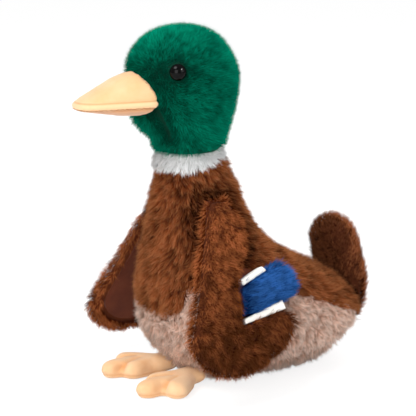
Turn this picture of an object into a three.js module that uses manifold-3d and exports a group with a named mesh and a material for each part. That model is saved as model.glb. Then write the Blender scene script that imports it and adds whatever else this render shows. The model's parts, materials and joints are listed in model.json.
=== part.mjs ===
// Stuffed toy drake that sits on its base with its feet out in front of it.
// Lengths are millimetres. The duck looks along -Y, its left side is +X, up is +Z.
// Plush covers are modelled to the middle of their pile.
import * as THREE from 'three';
import { mergeVertices } from 'three/addons/utils/BufferGeometryUtils.js';
import Module from 'manifold-3d';

const wasm = await Module();
wasm.setup();

// Cloths and fits
const plush = 5;
const velour = 1.5;
const lining_cloth = 1.2;
const satin = 2.5;
const gap = 0.3;
// Cutting shapes reach this far past the body, and span this many body lengths
const overrun = 20;
const overrun_spans = 3;

// Body: height of its neck seam, and the length and width that its slices share
const body_height = 162;
const body_length = 160;
const body_width = 112;
const widest_share = 0.48;
// From the floor up: height, front, rear, half width, and how round the front is in plan,
// from 1 for an ellipse to less for a broader belly.
// Front and rear are shares of the body's length from the plane under the shoulders.
const body_shares = [
  [0.000, 0.006, 0.530, 0.183, 0.90],
  [0.018, -0.028, 0.552, 0.226, 0.85],
  [0.074, -0.138, 0.594, 0.362, 0.78],
  [0.154, -0.231, 0.691, 0.478, 0.70],
  [0.247, -0.292, 0.739, 0.500, 0.68],
  [0.333, -0.306, 0.663, 0.498, 0.75],
  [0.407, -0.318, 0.560, 0.482, 0.85],
  [0.494, -0.312, 0.360, 0.442, 0.95],
  [0.586, -0.292, 0.222, 0.386, 1.00],
  [0.710, -0.279, 0.140, 0.306, 1.00],
  [0.852, -0.261, 0.092, 0.236, 1.00],
  [0.926, -0.251, 0.056, 0.212, 1.00],
  [1.000, -0.244, 0.030, 0.194, 1.00],
];

// Seams of the body: a white band under the head, and two long ones
const band_height = 12;
// Side views as shares of body length and height: the base seam, which rises to the rear
const base_seam_shares = [
  [-0.600, 0.105],
  [0.000, 0.111],
  [0.250, 0.120],
  [0.500, 0.142],
  [0.650, 0.168],
  [0.781, 0.172],
  [1.000, 0.100],
];
// and the seam between brown and taupe
const flank_seam_shares = [
  [-0.600, 0.100],
  [-0.287, 0.284],
  [-0.233, 0.417],
  [-0.094, 0.469],
  [0.225, 0.388],
  [0.662, 0.220],
  [1.000, 0.120],
];

// Head: height from the neck seam to the crown, and its depth and width
const head_height = 84;
const head_depth = 75;
const head_width = 67;
const neck_axis_back = 17.4;
// From the neck seam up: height, forward shift, half depth and half width
const head_shares = [
  [0.000, 0.000, 0.296, 0.332],
  [0.050, 0.010, 0.312, 0.342],
  [0.130, 0.032, 0.350, 0.372],
  [0.220, 0.074, 0.422, 0.420],
  [0.290, 0.104, 0.478, 0.454],
  [0.420, 0.078, 0.480, 0.483],
  [0.540, 0.070, 0.495, 0.497],
  [0.640, 0.080, 0.500, 0.500],
  [0.730, 0.093, 0.485, 0.484],
  [0.810, 0.098, 0.437, 0.436],
  [0.880, 0.092, 0.380, 0.376],
  [0.940, 0.090, 0.298, 0.296],
  [0.980, 0.090, 0.196, 0.198],
  [1.000, 0.090, 0.072, 0.074],
];

// Bill: its tip in front of the body's plane, length from inside the brow, width at the root,
// heights about the lip
const bill_reach = 103.5;
const bill_length = 54;
const bill_width = 41;
const bill_rise = 22;
const bill_drop = 9.5;
const bill_lip_height = 197.7;
const lip_band_width = 3.8;
// From the root out: distance, half width, rise and drop
const bill_shares = [
  [0.000, 0.500, 1.000, 1.000],
  [0.160, 0.496, 0.990, 0.980],
  [0.310, 0.478, 0.930, 0.930],
  [0.480, 0.439, 0.800, 0.850],
  [0.620, 0.396, 0.615, 0.670],
  [0.750, 0.350, 0.430, 0.490],
  [0.860, 0.300, 0.278, 0.340],
  [0.940, 0.232, 0.175, 0.235],
  [0.985, 0.140, 0.105, 0.150],
  [1.000, 0.060, 0.050, 0.070],
];

// Eyes: a domed button whose shank goes through the cover into a washer
const eye_diameter = 12;
const eye_bulge = 4.6;
const eye_height_share = 0.686;
const eye_turn = 59;
const shank_diameter = 3;
const shank_length = 9;
const washer_diameter = 12;
const washer_thickness = 1.5;
const washer_press = 1;
// Small share over which the head's slope is read at the eye
const slope_share = 0.01;

// Tail: an upcurled tongue
const tail_width = 46;
const tail_thickness = 27;
const tail_top = 101;
// From the root up: forward of the rump's rear as a share of the thickness, share of the top,
// share of the full section
const tail_shares = [
  [1.020, 0.230, 0.90],
  [0.464, 0.330, 0.97],
  [0.257, 0.440, 1.00],
  [0.264, 0.560, 1.00],
  [0.380, 0.680, 1.00],
  [0.480, 0.790, 0.98],
  [0.570, 0.870, 0.92],
  [0.613, 0.930, 0.80],
  [0.642, 0.975, 0.58],
  [0.661, 0.998, 0.26],
];

// Wings: hung from the shoulders and leaning out over the flanks
const wing_length = 119;
const wing_chord = 84;
const wing_height = 131;
const wing_spread = 23;
const wing_yaw = 2;
// The right wing is sewn on a little lower than the left one
const right_wing_drop = 7;
const wing_plush = 7;
const wing_edge_round = 2.4;
const patch_edge_round = 1;
// Outlines go round from the root: back as a share of the chord, down as a share of the length
const wing_front_shares = [
  [-0.107, 0.000],
  [-0.160, 0.058],
  [-0.226, 0.168],
  [-0.286, 0.277],
  [-0.363, 0.437],
  [-0.429, 0.555],
  [-0.506, 0.689],
  [-0.545, 0.770],
  [-0.540, 0.838],
  [-0.460, 0.921],
  [-0.340, 0.977],
  [-0.190, 0.999],
  [-0.048, 0.989],
  [0.107, 0.953],
  [0.274, 0.895],
  [0.393, 0.815],
  [0.446, 0.748],
  [0.375, 0.687],
];
const wing_notch_shares = [
  [-0.055, 0.736],
  [0.000, 0.439],
];
const wing_back_shares = [
  [0.095, 0.341],
  [0.137, 0.224],
  [0.125, 0.107],
  [0.048, 0.000],
];
const patch_shares = [
  [0.010, 0.517],
  [-0.036, 0.688],
  [0.362, 0.616],
  [0.488, 0.580],
  [0.464, 0.478],
  [0.393, 0.424],
];
const upper_stripe_shares = [
  [0.004, 0.476],
  [0.230, 0.417],
  [0.275, 0.445],
  [0.014, 0.513],
];
const lower_stripe_shares = [
  [-0.036, 0.695],
  [0.355, 0.625],
  [0.372, 0.679],
  [-0.042, 0.726],
];
const lining_shares = [
  [-0.095, 0.000],
  [-0.140, 0.117],
  [-0.230, 0.322],
  [-0.345, 0.546],
  [-0.430, 0.712],
  [-0.430, 0.780],
  [-0.340, 0.868],
  [-0.190, 0.907],
  [-0.048, 0.897],
  [0.107, 0.868],
  [0.285, 0.814],
  [0.370, 0.741],
  [0.380, 0.604],
  [0.350, 0.487],
  [0.200, 0.429],
  [0.030, 0.370],
  [0.060, 0.195],
  [0.036, 0.000],
];

// Legs and feet: a flat tube sewn in under the belly, and a webbed foot with three round toes
const leg_width = 19.5;
const leg_thickness = 11;
const leg_spacing = 36;
const leg_root_height = 7.5;
const foot_spread = 40;
const foot_width = 37.5;
const foot_length = 46;
const foot_thickness = 11;
const foot_edge_round = 5;
const foot_tip_forward = 74.5;
const ankle_share = 0.62;
// Outline of the left foot from its heel, round by the outer side: sideways from its middle line
// as a share of the width, back from the tip as a share of the length
const foot_shares = [
  [-0.06, 1.03],
  [0.19, 1.00],
  [0.36, 0.88],
  [0.56, 0.72],
  [0.67, 0.585],
  [0.62, 0.45],
  [0.48, 0.375],
  [0.345, 0.35],
  [0.355, 0.19],
  [0.26, 0.04],
  [0.07, 0.01],
  [-0.05, 0.13],
  [-0.075, 0.245],
  [-0.19, 0.28],
  [-0.30, 0.39],
  [-0.30, 0.54],
  [-0.25, 0.74],
  [-0.26, 0.94],
];
const sole_thickness = 1.5;

// Facets
const outer_facets = 26;
const inner_facets = 18;
const outer_rows = 20;
const inner_rows = 12;
const limb_facets = 10;
// Rings of a limb's round end, and where the first one stands, as a share of a ring's turn
const limb_end_rings = 3;
const limb_tip_share = 0.25;
const tail_facets = 16;
const dome_steps = 4;
const outline_steps = 2;
const edge_steps = 2;
const seam_steps = 6;
const root_steps = 12;

/** Reads a row of a table at any value of its first column. */
function rowReader(rows) {
  const keys = rows.map((row) => row[0]);
  const values = rows.flatMap((row) => row.slice(1));
  const reader = new THREE.CubicInterpolant(keys, values, rows[0].length - 1);
  return (key) => [...reader.evaluate(key)];
}

const bodyRow = rowReader(body_shares);
const headRow = rowReader(head_shares);
const billRow = rowReader(bill_shares);

/** A closed body through rings of points that run counter-clockwise, seen from the last. */
function loft(rings) {
  const count = rings[0].length;
  const points = rings.flat();
  const index = [];
  for (let ring = 0; ring < rings.length - 1; ring++) {
    for (let i = 0; i < count; i++) {
      const a = ring * count + i;
      const b = ring * count + (i + 1) % count;
      index.push(a, b, b + count, a, b + count, a + count);
    }
  }
  const last = (rings.length - 1) * count;
  const first_centre = points.push(middle(rings[0])) - 1;
  const last_centre = points.push(middle(rings.at(-1))) - 1;
  for (let i = 0; i < count; i++) {
    const next = (i + 1) % count;
    index.push(first_centre, next, i, last_centre, last + i, last + next);
  }
  const geometry = new THREE.BufferGeometry().setFromPoints(points);
  geometry.setIndex(index);
  return geometry;
}

function middle(ring) {
  const sum = ring.reduce((total, point) => total.add(point), new THREE.Vector3());
  return sum.divideScalar(ring.length);
}

/** Moves every vertex of a closed body out along its normal. */
function grown(geometry, distance) {
  const result = geometry.clone();
  result.computeVertexNormals();
  const position = result.getAttribute('position');
  const normal = result.getAttribute('normal');
  const point = new THREE.Vector3();
  const direction = new THREE.Vector3();
  for (let i = 0; i < position.count; i++) {
    point.fromBufferAttribute(position, i);
    direction.fromBufferAttribute(normal, i);
    point.addScaledVector(direction, distance);
    position.setXYZ(i, point.x, point.y, point.z);
  }
  return result;
}

/** A geometry as a solid that can be joined and cut. */
function solid(geometry) {
  const plain = geometry.clone();
  plain.deleteAttribute('normal');
  plain.deleteAttribute('uv');
  const merged = mergeVertices(plain);
  return new wasm.Manifold(new wasm.Mesh({
    numProp: 3,
    vertProperties: new Float32Array(merged.getAttribute('position').array),
    triVerts: new Uint32Array(merged.getIndex().array),
  }));
}

/** A named mesh of a solid. */
function piece(name, shape, look) {
  const mesh = shape.getMesh();
  const geometry = new THREE.BufferGeometry();
  geometry.setAttribute('position', new THREE.BufferAttribute(mesh.vertProperties, 3));
  geometry.setIndex(new THREE.BufferAttribute(mesh.triVerts, 1));
  geometry.computeVertexNormals();
  const result = new THREE.Mesh(geometry, look());
  result.name = name;
  return result;
}

const cloth = (color, roughness) => () => new THREE.MeshStandardMaterial({ color, roughness });
const green_plush = cloth('#08784f', 0.9);
const white_plush = cloth('#e9ebe9', 0.9);
const brown_plush = cloth('#74401f', 0.9);
const taupe_plush = cloth('#a3877b', 0.92);
const blue_plush = cloth('#2058b0', 0.9);
const peach_velour = cloth('#f5c994', 0.85);
const brown_lining = cloth('#4d200f', 0.85);
const white_satin = cloth('#eceae4', 0.5);
const fibre_fill = cloth('#f4f4f0', 1);
const black_gloss = cloth('#0b0b0c', 0.08);
const white_plastic = cloth('#e2e2e0', 0.4);

/** A box between two heights, wider and longer than the whole toy. */
function layer(bottom, top) {
  const side = body_length * overrun_spans;
  const box = new THREE.BoxGeometry(side, side, top - bottom);
  box.translate(0, 0, (bottom + top) / 2);
  return solid(box);
}

function bodySlice(height) {
  const [front, rear, half, round] = bodyRow(height / body_height);
  const widest = front + (rear - front) * widest_share;
  return {
    round,
    front: front * body_length,
    rear: rear * body_length,
    widest: widest * body_length,
    half: half * body_width,
  };
}

/** A point of the body's slice at an angle round it, from the left side by the rear. */
function bodyPoint(height, angle) {
  const { front, rear, widest, half, round } = bodySlice(height);
  const across = Math.cos(angle);
  const along = Math.sin(angle);
  if (along >= 0) return new THREE.Vector3(half * across, widest + (rear - widest) * along, height);
  const x = half * Math.sign(across) * Math.abs(across) ** round;
  return new THREE.Vector3(x, widest - (widest - front) * (-along) ** round, height);
}

/** The body's form from the floor past the neck seam: egg-shaped slices, widest at one share. */
function bodyForm(facets, rows) {
  const rings = [];
  for (let i = 0; i <= rows; i++) {
    const share = i / rows;
    const height = body_height * share * (1 + share) / 2;
    const ring = [];
    for (let j = 0; j < facets; j++) ring.push(bodyPoint(height, 2 * Math.PI * j / facets));
    rings.push(ring);
  }
  const above = rings.at(-1).map((point) => point.clone().setZ(body_height + overrun));
  rings.push(above);
  return loft(rings);
}

function headSlice(share) {
  const [shift, depth, half] = headRow(share);
  return {
    height: body_height + share * head_height,
    centre: -neck_axis_back - shift * head_depth,
    depth: depth * head_depth,
    half: half * head_width,
  };
}

/** The head's form from under the neck seam to the crown. */
function headForm(facets) {
  const rows = facets / 2;
  const rings = [];
  for (let i = 0; i <= rows; i++) {
    const slice = headSlice(Math.sin(Math.PI / 2 * i / rows));
    const ring = [];
    for (let j = 0; j < facets; j++) {
      const angle = 2 * Math.PI * j / facets;
      const x = slice.half * Math.cos(angle);
      const y = slice.centre + slice.depth * Math.sin(angle);
      ring.push(new THREE.Vector3(x, y, slice.height));
    }
    rings.push(ring);
  }
  const below = rings[0].map((point) => point.clone().setZ(body_height - overrun));
  rings.unshift(below);
  return loft(rings);
}

/** The bill's form: slices that rise to a dome above the lip and sag below it. */
function billForm(facets) {
  const rings = bill_shares.map(([share]) => {
    const [half, rise, drop] = billRow(share);
    const forward = bill_reach - (1 - share) * bill_length;
    const ring = [];
    for (let j = 0; j < facets; j++) {
      const angle = 2 * Math.PI * j / facets;
      const up = Math.sin(angle);
      const tall = up < 0 ? drop * bill_drop : rise * bill_rise;
      const x = half * bill_width * Math.cos(angle);
      ring.push(new THREE.Vector3(x, -forward, bill_lip_height + tall * up));
    }
    return ring;
  });
  return loft(rings);
}

/** A body along a spine, with an elliptical section of half sizes [wide, tall] at each point. */
function sweep(spine, sections, facets) {
  const rings = spine.map((centre, i) => {
    const before = spine[Math.max(i - 1, 0)];
    const after = spine[Math.min(i + 1, spine.length - 1)];
    const tangent = after.clone().sub(before).normalize();
    const side = new THREE.Vector3(1, 0, 0).addScaledVector(tangent, -tangent.x).normalize();
    const other = new THREE.Vector3().crossVectors(tangent, side);
    const [wide, tall] = sections[i];
    const ring = [];
    for (let j = 0; j < facets; j++) {
      const angle = 2 * Math.PI * j / facets;
      const point = centre.clone().addScaledVector(side, wide * Math.cos(angle));
      ring.push(point.addScaledVector(other, tall * Math.sin(angle)));
    }
    return ring;
  });
  return loft(rings);
}

/** A straight flat limb with round ends that reach as far as it is half thick. */
function limb(start, end, wide, tall) {
  const along = end.clone().sub(start).normalize();
  const spine = [];
  const sections = [];
  const last = limb_end_rings - 1 + limb_tip_share;
  for (let i = 0; i < 2 * limb_end_rings; i++) {
    const at_start = i < limb_end_rings;
    const ring = at_start ? i + limb_tip_share : i - limb_tip_share;
    const angle = Math.PI / 2 * ring / last;
    const centre = at_start ? start : end;
    spine.push(centre.clone().addScaledVector(along, -tall * Math.cos(angle)));
    sections.push([wide * Math.sin(angle), tall * Math.sin(angle)]);
  }
  return sweep(spine, sections, limb_facets);
}

/** The tail's form, rooted inside the rump. */
function tailForm(facets) {
  const rump = body_length * Math.max(...body_shares.map(([, , rear]) => rear));
  const spine = tail_shares.map(
    ([forward, up]) => new THREE.Vector3(0, rump - forward * tail_thickness, up * tail_top));
  const sections = tail_shares.map(([, , full]) => [full * tail_width / 2, full * tail_thickness / 2]);
  return sweep(spine, sections, facets);
}

const body_outer = bodyForm(outer_facets, outer_rows);
const body_inner = bodyForm(inner_facets, inner_rows);
const head_outer = headForm(outer_facets);
const head_inner = headForm(inner_facets);
const body_clear = solid(grown(body_outer, gap));
const head_clear = solid(grown(head_outer, gap));

/** Everything under a seam that is drawn in side view. */
function underSeam(shares, lift) {
  const seam = shares.map(
    ([back, up]) => new THREE.Vector2(back * body_length, up * body_height + lift));
  const outline = new THREE.Shape();
  outline.moveTo(seam[0].x, -body_height);
  outline.lineTo(seam[0].x, seam[0].y);
  outline.splineThru(seam.slice(1));
  outline.lineTo(seam.at(-1).x, -body_height);
  const width = 2 * body_width;
  const block = new THREE.ExtrudeGeometry(outline, {
    depth: width,
    bevelEnabled: false,
    curveSegments: seam_steps,
  });
  block.translate(0, 0, -width / 2);
  block.applyMatrix4(sideView());
  return solid(block);
}

/** Turns a drawing of (back, up) so that it faces sideways. */
function sideView() {
  return new THREE.Matrix4().makeBasis(
    new THREE.Vector3(0, 1, 0), new THREE.Vector3(0, 0, 1), new THREE.Vector3(1, 0, 0));
}

function torso() {
  const group = new THREE.Group();
  const cover = solid(body_outer).subtract(solid(grown(body_inner, -plush)));
  const band_bottom = body_height - band_height;
  const body_cover = cover.intersect(layer(-overrun, band_bottom - gap / 2));
  const band = cover.intersect(layer(band_bottom + gap / 2, body_height - gap / 2));
  const back = body_cover.subtract(underSeam(flank_seam_shares, gap / 2));
  const taupe = body_cover.intersect(underSeam(flank_seam_shares, -gap / 2));
  const belly = taupe.subtract(underSeam(base_seam_shares, gap / 2));
  const base = taupe.intersect(underSeam(base_seam_shares, -gap / 2));
  const under_neck = layer(-overrun, body_height - gap / 2);
  const fill = solid(grown(body_inner, -plush - gap)).intersect(under_neck);
  group.add(
    piece('neck_band', band, white_plush),
    piece('back_cover', back, brown_plush),
    piece('belly_cover', belly, taupe_plush),
    piece('base_panel', base, taupe_plush),
    piece('body_stuffing', fill, fibre_fill),
  );
  const tail_outer = solid(tailForm(tail_facets)).subtract(body_clear);
  const tail_inner = tailForm(limb_facets);
  const tail_cavity = solid(grown(tail_inner, -plush));
  const tail_fill = solid(grown(tail_inner, -plush - gap)).subtract(body_clear);
  group.add(
    piece('tail_cover', tail_outer.subtract(tail_cavity), brown_plush),
    piece('tail_stuffing', tail_fill, fibre_fill),
  );
  return group;
}

/** Where an eye sits on the left of the head, and the way it looks. */
function eyeSeat() {
  const surface = (share, turn) => {
    const slice = headSlice(share);
    const x = slice.half * Math.sin(turn);
    const y = slice.centre - slice.depth * Math.cos(turn);
    return new THREE.Vector3(x, y, slice.height);
  };
  const turn = THREE.MathUtils.degToRad(eye_turn);
  const point = surface(eye_height_share, turn);
  const across = surface(eye_height_share, turn + slope_share).sub(point);
  const upward = surface(eye_height_share + slope_share, turn).sub(point);
  return { point, outward: across.cross(upward).normalize() };
}

/** A turned body about +Y, from radius and depth pairs. */
function turned(profile, facets) {
  return solid(new THREE.LatheGeometry(profile.map(([r, y]) => new THREE.Vector2(r, y)), facets));
}

/** Sets a turned body at an eye's seat on one side. */
function seated(shape, side) {
  const { point, outward } = eyeSeat();
  const turn = new THREE.Quaternion().setFromUnitVectors(
    new THREE.Vector3(0, 1, 0), outward.multiply(new THREE.Vector3(side, 1, 1)));
  const matrix = new THREE.Matrix4().compose(
    point.multiply(new THREE.Vector3(side, 1, 1)), turn, new THREE.Vector3(1, 1, 1));
  return shape.transform(matrix.elements);
}

function eyeParts() {
  const radius = eye_diameter / 2;
  const shank = shank_diameter / 2;
  const profile = [[0, -shank_length], [shank, -shank_length], [shank, gap]];
  for (let i = 0; i <= dome_steps; i++) {
    const angle = Math.PI / 2 * i / dome_steps;
    const r = i < dome_steps ? radius * Math.cos(angle) : 0;
    profile.push([r, gap + eye_bulge * Math.sin(angle)]);
  }
  const washer_top = washer_press - plush;
  const washer_bottom = washer_top - washer_thickness;
  const bore = shank + gap;
  const rim = washer_diameter / 2;
  const washer = [
    [bore, washer_bottom],
    [rim, washer_bottom],
    [rim, washer_top],
    [bore, washer_top],
    [bore, washer_bottom],
  ];
  const end = -shank_length - gap;
  const clear = rim + gap;
  const below = washer_bottom - gap;
  const above = washer_top + gap;
  const pocket = [[0, end], [bore, end], [bore, below], [clear, below], [clear, 0], [0, 0]];
  const hole = [[0, end], [clear, end], [clear, above], [bore, above], [bore, eye_bulge], [0, eye_bulge]];
  return {
    eye: turned(profile, tail_facets),
    washer: turned(washer, tail_facets),
    pocket: turned(pocket, tail_facets),
    hole: turned(hole, tail_facets),
  };
}

function head() {
  const group = new THREE.Group();
  const above_seam = layer(body_height + gap / 2, body_height + 2 * head_height);
  const parts = eyeParts();
  let cover = solid(head_outer).subtract(solid(grown(head_inner, -plush))).intersect(above_seam);
  let fill = solid(grown(head_inner, -plush - gap)).intersect(above_seam);
  for (const [name, side] of [['left', 1], ['right', -1]]) {
    cover = cover.subtract(seated(parts.hole, side));
    fill = fill.subtract(seated(parts.pocket, side));
    group.add(
      piece(`${name}_eye`, seated(parts.eye, side), black_gloss),
      piece(`${name}_eye_washer`, seated(parts.washer, side), white_plastic),
    );
  }
  group.add(
    piece('head_cover', cover, green_plush),
    piece('head_stuffing', fill, fibre_fill),
    ...billPieces(),
  );
  return group;
}

function billPieces() {
  const form = billForm(tail_facets);
  const shell = solid(form).subtract(head_clear).subtract(solid(grown(form, -velour)));
  const fill = solid(grown(form, -velour - gap)).subtract(head_clear);
  const band_bottom = bill_lip_height - lip_band_width / 2;
  const band_top = bill_lip_height + lip_band_width / 2;
  const far_below = bill_lip_height - head_height;
  const far_above = bill_lip_height + head_height;
  return [
    piece('bill_upper', shell.intersect(layer(band_top + gap / 2, far_above)), peach_velour),
    piece('bill_lip', shell.intersect(layer(band_bottom + gap / 2, band_top - gap / 2)), peach_velour),
    piece('bill_lower', shell.intersect(layer(far_below, band_bottom - gap / 2)), peach_velour),
    piece('bill_stuffing', fill, fibre_fill),
  ];
}

/** The line of the neck, about which the head turns. */
const neck_pivot = new THREE.Vector3(0, -neck_axis_back, body_height);

/** The top inner edge of a wing, drawn on the left, so that its plane lies against the flank. */
function wingPivot(drop) {
  const height = wing_height - drop;
  const lean = THREE.MathUtils.degToRad(wing_spread);
  let out = 0;
  for (let i = 0; i <= root_steps; i++) {
    const down = wing_length * i / root_steps;
    const flank = bodySlice(height - down * Math.cos(lean)).half;
    out = Math.max(out, flank - down * Math.sin(lean));
  }
  return new THREE.Vector3(out + gap, bodySlice(height).widest, height);
}

/** How far forward the middle of the leg's round end lies, to be clear of the body's front. */
function legRootForward() {
  const clear = leg_thickness / 2 + gap;
  let forward = 0;
  for (let i = 0; i <= root_steps; i++) {
    const up = clear * Math.sin(Math.PI * (i / root_steps - 1 / 2));
    const { front, widest, half, round } = bodySlice(leg_root_height + up);
    const across = (leg_spacing / 2 / half) ** (2 / round);
    const body_front = widest - (widest - front) * (1 - across) ** (round / 2);
    forward = Math.max(forward, Math.sqrt(clear ** 2 - up ** 2) - body_front);
  }
  return forward;
}

/** The middle of the round end of the left leg. */
const leg_pivot = new THREE.Vector3(leg_spacing / 2, -legRootForward(), leg_root_height);

/** Points of (back, up) about the wing's root. */
function wingPoints(shares) {
  return shares.map(([back, down]) => new THREE.Vector2(back * wing_chord, -down * wing_length));
}

/** A plate in the wing's plane: a drawing of (back, up), from one depth outwards to another. */
function wingPlate(outline, inside, outside, round) {
  const plate = new THREE.ExtrudeGeometry(outline, {
    depth: outside - inside - 2 * round,
    bevelEnabled: round > 0,
    bevelThickness: round,
    bevelSize: round,
    bevelOffset: -round,
    bevelSegments: edge_steps,
    curveSegments: outline_steps,
  });
  plate.translate(0, 0, inside + round);
  plate.applyMatrix4(sideView());
  return solid(plate);
}

function splineOutline(points) {
  const outline = new THREE.Shape();
  outline.moveTo(points[0].x, points[0].y);
  outline.splineThru(points.slice(1));
  return outline;
}

function wing(name) {
  const group = new THREE.Group();
  group.position.copy(wingPivot(name === 'right' ? right_wing_drop : 0));
  group.rotation.set(
    0, -THREE.MathUtils.degToRad(wing_spread), THREE.MathUtils.degToRad(wing_yaw), 'ZYX');
  const plush_outline = splineOutline(wingPoints(wing_front_shares));
  for (const corner of wingPoints(wing_notch_shares)) plush_outline.lineTo(corner.x, corner.y);
  plush_outline.splineThru(wingPoints(wing_back_shares));
  const patch = new THREE.Shape(wingPoints(patch_shares));
  const upper = new THREE.Shape(wingPoints(upper_stripe_shares));
  const lower = new THREE.Shape(wingPoints(lower_stripe_shares));
  const lining = splineOutline(wingPoints(lining_shares));
  const inside = lining_cloth + gap;
  const outer_plate = wingPlate(plush_outline, inside, inside + wing_plush, wing_edge_round);
  const patch_plate = wingPlate(patch, inside, inside + plush, patch_edge_round);
  group.add(
    piece(`${name}_wing_outer`, outer_plate, brown_plush),
    piece(`${name}_wing_lining`, wingPlate(lining, 0, lining_cloth, 0), brown_lining),
    piece(`${name}_wing_patch`, patch_plate, blue_plush),
    piece(`${name}_wing_upper_stripe`, wingPlate(upper, inside, inside + satin, 0), white_satin),
    piece(`${name}_wing_lower_stripe`, wingPlate(lower, inside, inside + satin, 0), white_satin),
  );
  return group;
}

/** The foot's form about the leg's root, taken in by an inset. */
function footForm(inset) {
  const points = foot_shares.map(([sideways, back]) => new THREE.Vector2(
    foot_spread / 2 + sideways * foot_width - leg_pivot.x,
    back * foot_length - foot_tip_forward - leg_pivot.y,
  ));
  const foot = new THREE.ExtrudeGeometry(splineOutline([...points, points[0]]), {
    depth: foot_thickness - 2 * foot_edge_round,
    bevelThickness: foot_edge_round - inset,
    bevelSize: foot_edge_round - inset,
    bevelOffset: -foot_edge_round,
    bevelSegments: edge_steps,
    curveSegments: outline_steps,
  });
  foot.translate(0, 0, foot_edge_round - leg_pivot.z);
  return solid(foot);
}

/** The leg and foot's form about its root, taken in by an inset. */
function legForm(inset) {
  const ankle = new THREE.Vector3(
    foot_spread / 2 - leg_pivot.x,
    ankle_share * foot_length - foot_tip_forward - leg_pivot.y,
    leg_thickness / 2 - leg_pivot.z,
  );
  const shin = limb(new THREE.Vector3(), ankle, leg_width / 2 - inset, leg_thickness / 2 - inset);
  return footForm(inset).add(solid(shin));
}

function leg(name) {
  const group = new THREE.Group();
  group.position.copy(leg_pivot);
  const floor = -leg_pivot.z;
  const sole_top = floor + sole_thickness;
  const foot = legForm(0).intersect(layer(floor, body_height));
  const sole = foot.intersect(layer(floor, sole_top));
  const sole_clear = layer(-body_height, sole_top + gap);
  const cover = foot.subtract(legForm(velour)).subtract(sole_clear);
  const fill = legForm(velour + gap).subtract(sole_clear);
  group.add(
    piece(`${name}_leg_cover`, cover, peach_velour),
    piece(`${name}_foot_sole`, sole, peach_velour),
    piece(`${name}_leg_stuffing`, fill, fibre_fill),
  );
  return group;
}

/** A side group, as modelled on the left or mirrored to the right. */
function sided(make, name, side) {
  const half = new THREE.Group();
  half.add(make(name));
  half.scale.x = side;
  return half;
}

const duck = new THREE.Group();
duck.add(torso(), head());
for (const [name, side] of [['left', 1], ['right', -1]]) {
  duck.add(sided(wing, name, side), sided(leg, name, side));
}

// The origin is on the floor under the middle of the toy
const bounds = new THREE.Box3().setFromObject(duck);
const centre = bounds.getCenter(new THREE.Vector3());
duck.position.set(-centre.x, -centre.y, -bounds.min.z);

const toy = new THREE.Group();
toy.add(duck);
export default toy;
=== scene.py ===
# %% [markdown]
# A plush drake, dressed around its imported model
#
# The toy is a stuffed cloth form covered in pile fabric, often called faux fur. Its look
# comes from the pile: thousands of soft strands that stand up from a knitted backing.
# This lesson loads the construction, sets the camera and the light, swells the stuffed
# forms with a cloth simulation, cuts them into their covers, and then plants the pile.

# %% Load the construction
import math

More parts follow.
